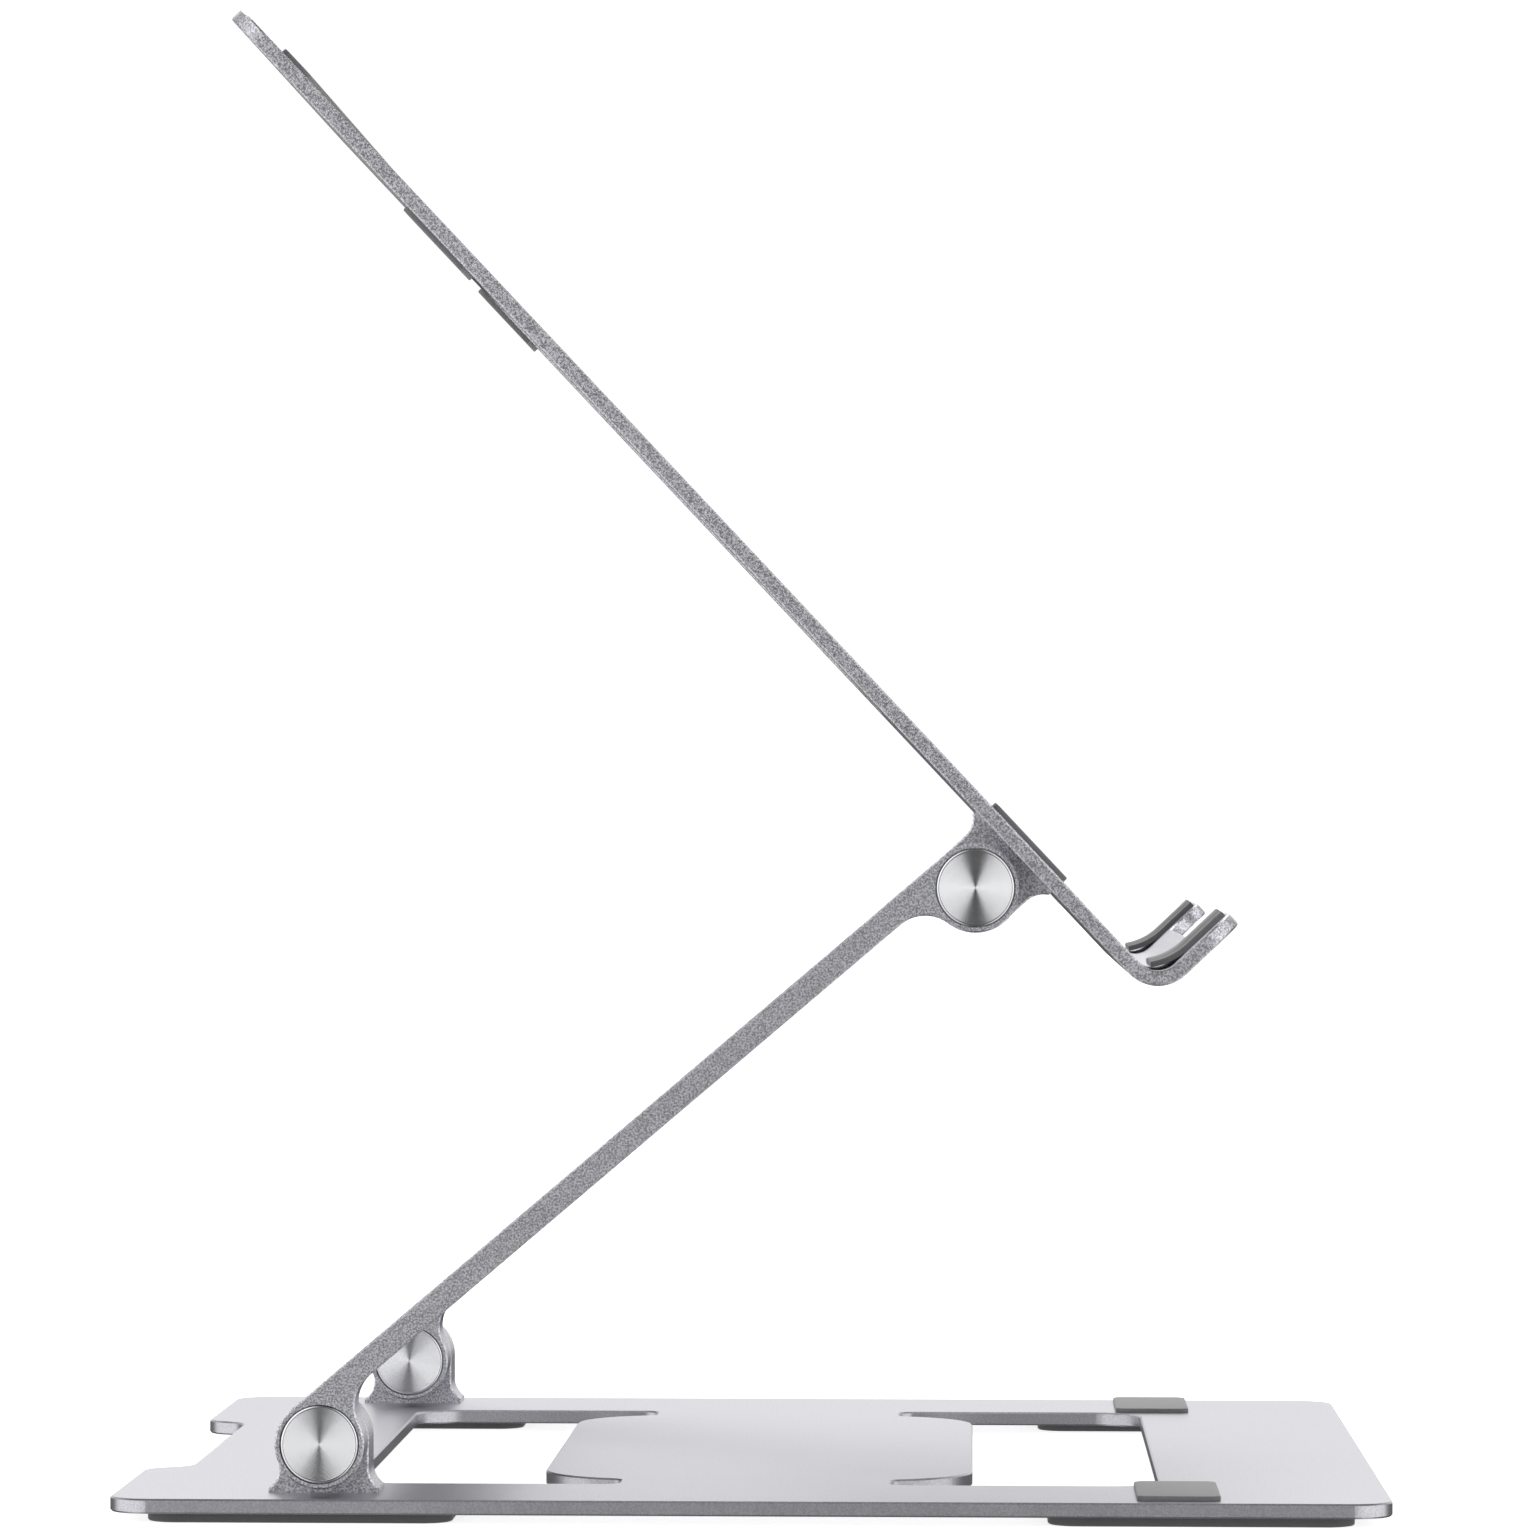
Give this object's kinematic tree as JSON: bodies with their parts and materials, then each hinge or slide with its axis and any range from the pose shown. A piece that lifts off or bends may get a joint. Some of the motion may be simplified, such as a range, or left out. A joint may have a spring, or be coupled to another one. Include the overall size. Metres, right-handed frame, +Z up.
{
  "type": "laptop stand",
  "caption": "Folding aluminium laptop stand: a base plate, a lifting arm and a hooked tray on friction hinges, with grey silicone pads.",
  "frame": {"origin": "centre of the footprint, on the plane the four feet stand on", "axes": "+X towards the user, where the hooks are; +Z up; -Y is the user's left"},
  "size_m": [0.2566, 0.246, 0.303],
  "materials": {
    "blasted_aluminium": "fine bead-blasted silver, satin",
    "turned_aluminium": "face turned with fine concentric rings, bright",
    "hinge_steel": "plain hardened steel, lightly oiled",
    "black_steel": "black oxide",
    "washer_polymer": "smooth black bearing plastic",
    "grey_silicone": "matt grey silicone",
    "foot_rubber": "matt dark grey rubber"
  },
  "bodies": {
    "base": {"base_plate": "blasted_aluminium", "foot_front_left": "foot_rubber", "foot_front_right": "foot_rubber", "foot_rear_left": "foot_rubber", "foot_rear_right": "foot_rubber", "base_bump_left": "grey_silicone", "base_bump_right": "grey_silicone", "base_bracket_left": "blasted_aluminium", "base_bracket_right": "blasted_aluminium", "base_bracket_cap_left": "turned_aluminium", "base_bracket_cap_right": "turned_aluminium", "base_bracket_screws": "black_steel", "lower_shaft_left": "hinge_steel", "lower_shaft_right": "hinge_steel", "lower_friction_washer_left": "washer_polymer", "lower_friction_washer_right": "washer_polymer", "lower_disc_springs_left": "hinge_steel", "lower_disc_springs_right": "hinge_steel", "lower_lock_nut_left": "hinge_steel", "lower_lock_nut_right": "hinge_steel"},
    "arm": {"arm_plate": "blasted_aluminium", "arm_lower_cap_left": "turned_aluminium", "arm_lower_cap_right": "turned_aluminium", "arm_upper_cap_left": "turned_aluminium", "arm_upper_cap_right": "turned_aluminium"},
    "upper_shafts": {"upper_shaft_left": "hinge_steel", "upper_shaft_right": "hinge_steel", "upper_friction_washer_left": "washer_polymer", "upper_friction_washer_right": "washer_polymer", "upper_disc_springs_left": "hinge_steel", "upper_disc_springs_right": "hinge_steel", "upper_lock_nut_left": "hinge_steel", "upper_lock_nut_right": "hinge_steel"},
    "tray": {"tray_plate": "blasted_aluminium", "tray_bracket_left": "blasted_aluminium", "tray_bracket_right": "blasted_aluminium", "tray_bracket_cap_left": "turned_aluminium", "tray_bracket_cap_right": "turned_aluminium", "tray_bracket_screws": "black_steel", "support_strip": "grey_silicone", "lower_pad_left": "grey_silicone", "lower_pad_right": "grey_silicone", "tray_bump_left": "grey_silicone", "tray_bump_right": "grey_silicone", "hook_pad_left": "grey_silicone", "hook_pad_right": "grey_silicone"}
  },
  "joints": [
    {"name": "arm_lift", "type": "hinge", "parent": "base", "child": "arm", "pos_m": [-0.086, 0, 0.01555], "axis": [0, -1, 0], "range_deg": [-40.4, 20]},
    {"name": "tray_fold", "type": "hinge", "parent": "arm", "child": "upper_shafts", "pos_m": [0.04498, 0, 0.12703], "axis": [0, 1, 0], "range_deg": [-73.11, 36.2]},
    {"name": "tray_tilt", "type": "hinge", "parent": "upper_shafts", "child": "tray", "pos_m": [0.04498, 0, 0.12703], "axis": [0, 1, 0], "range_deg": [-14, 14]}
  ],
  "couplings": [
    {"joint": "tray_fold", "follows": "arm_lift", "ratio": 1.8094}
  ]
}
